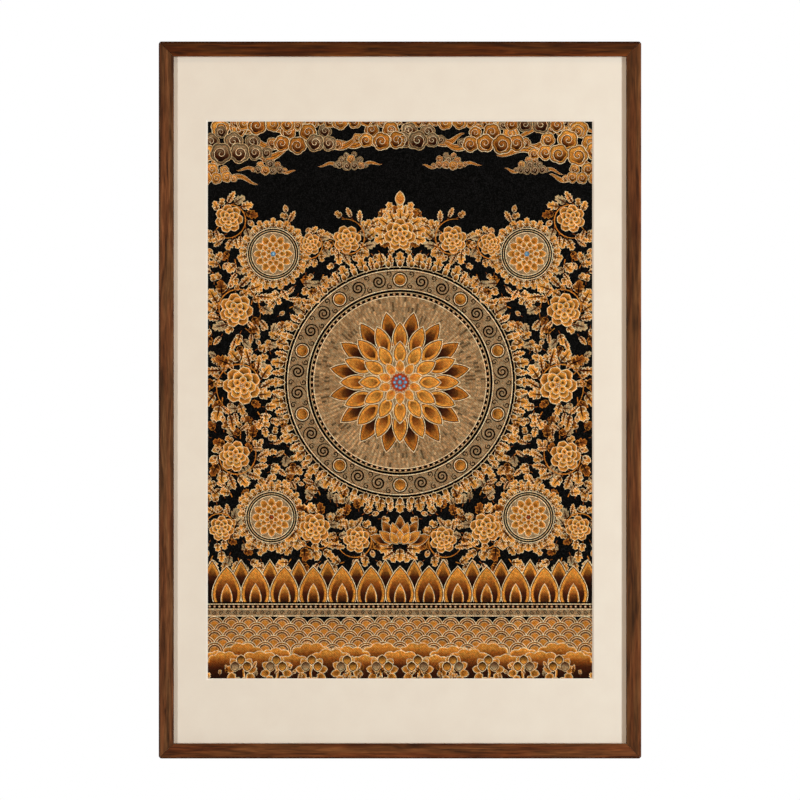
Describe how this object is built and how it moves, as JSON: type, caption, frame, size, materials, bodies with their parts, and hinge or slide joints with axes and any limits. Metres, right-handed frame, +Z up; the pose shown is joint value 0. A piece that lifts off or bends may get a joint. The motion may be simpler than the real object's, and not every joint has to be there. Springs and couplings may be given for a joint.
{
  "type": "framed thangka brocade picture",
  "caption": "Upright woven brocade thangka in gold and black behind a bevelled cream window mat, in a slim mitred wooden picture frame for a wall.",
  "frame": {"origin": "middle of the top rail's back face, which lies against the wall", "axes": "+X to the picture's right, +Y back into the wall, +Z up; the picture faces -Y"},
  "size_m": [0.6, 0.025, 0.8915],
  "materials": {
    "walnut": "satin",
    "mat_paper": "matte",
    "brocade": "satin",
    "fibreboard": "matte"
  },
  "bodies": {
    "root": {"frame_top": "walnut", "frame_bottom": "walnut", "frame_left": "walnut", "frame_right": "walnut", "mat_board": "mat_paper", "thangka_cloth": "brocade", "backing_board": "fibreboard"}
  },
  "joints": []
}
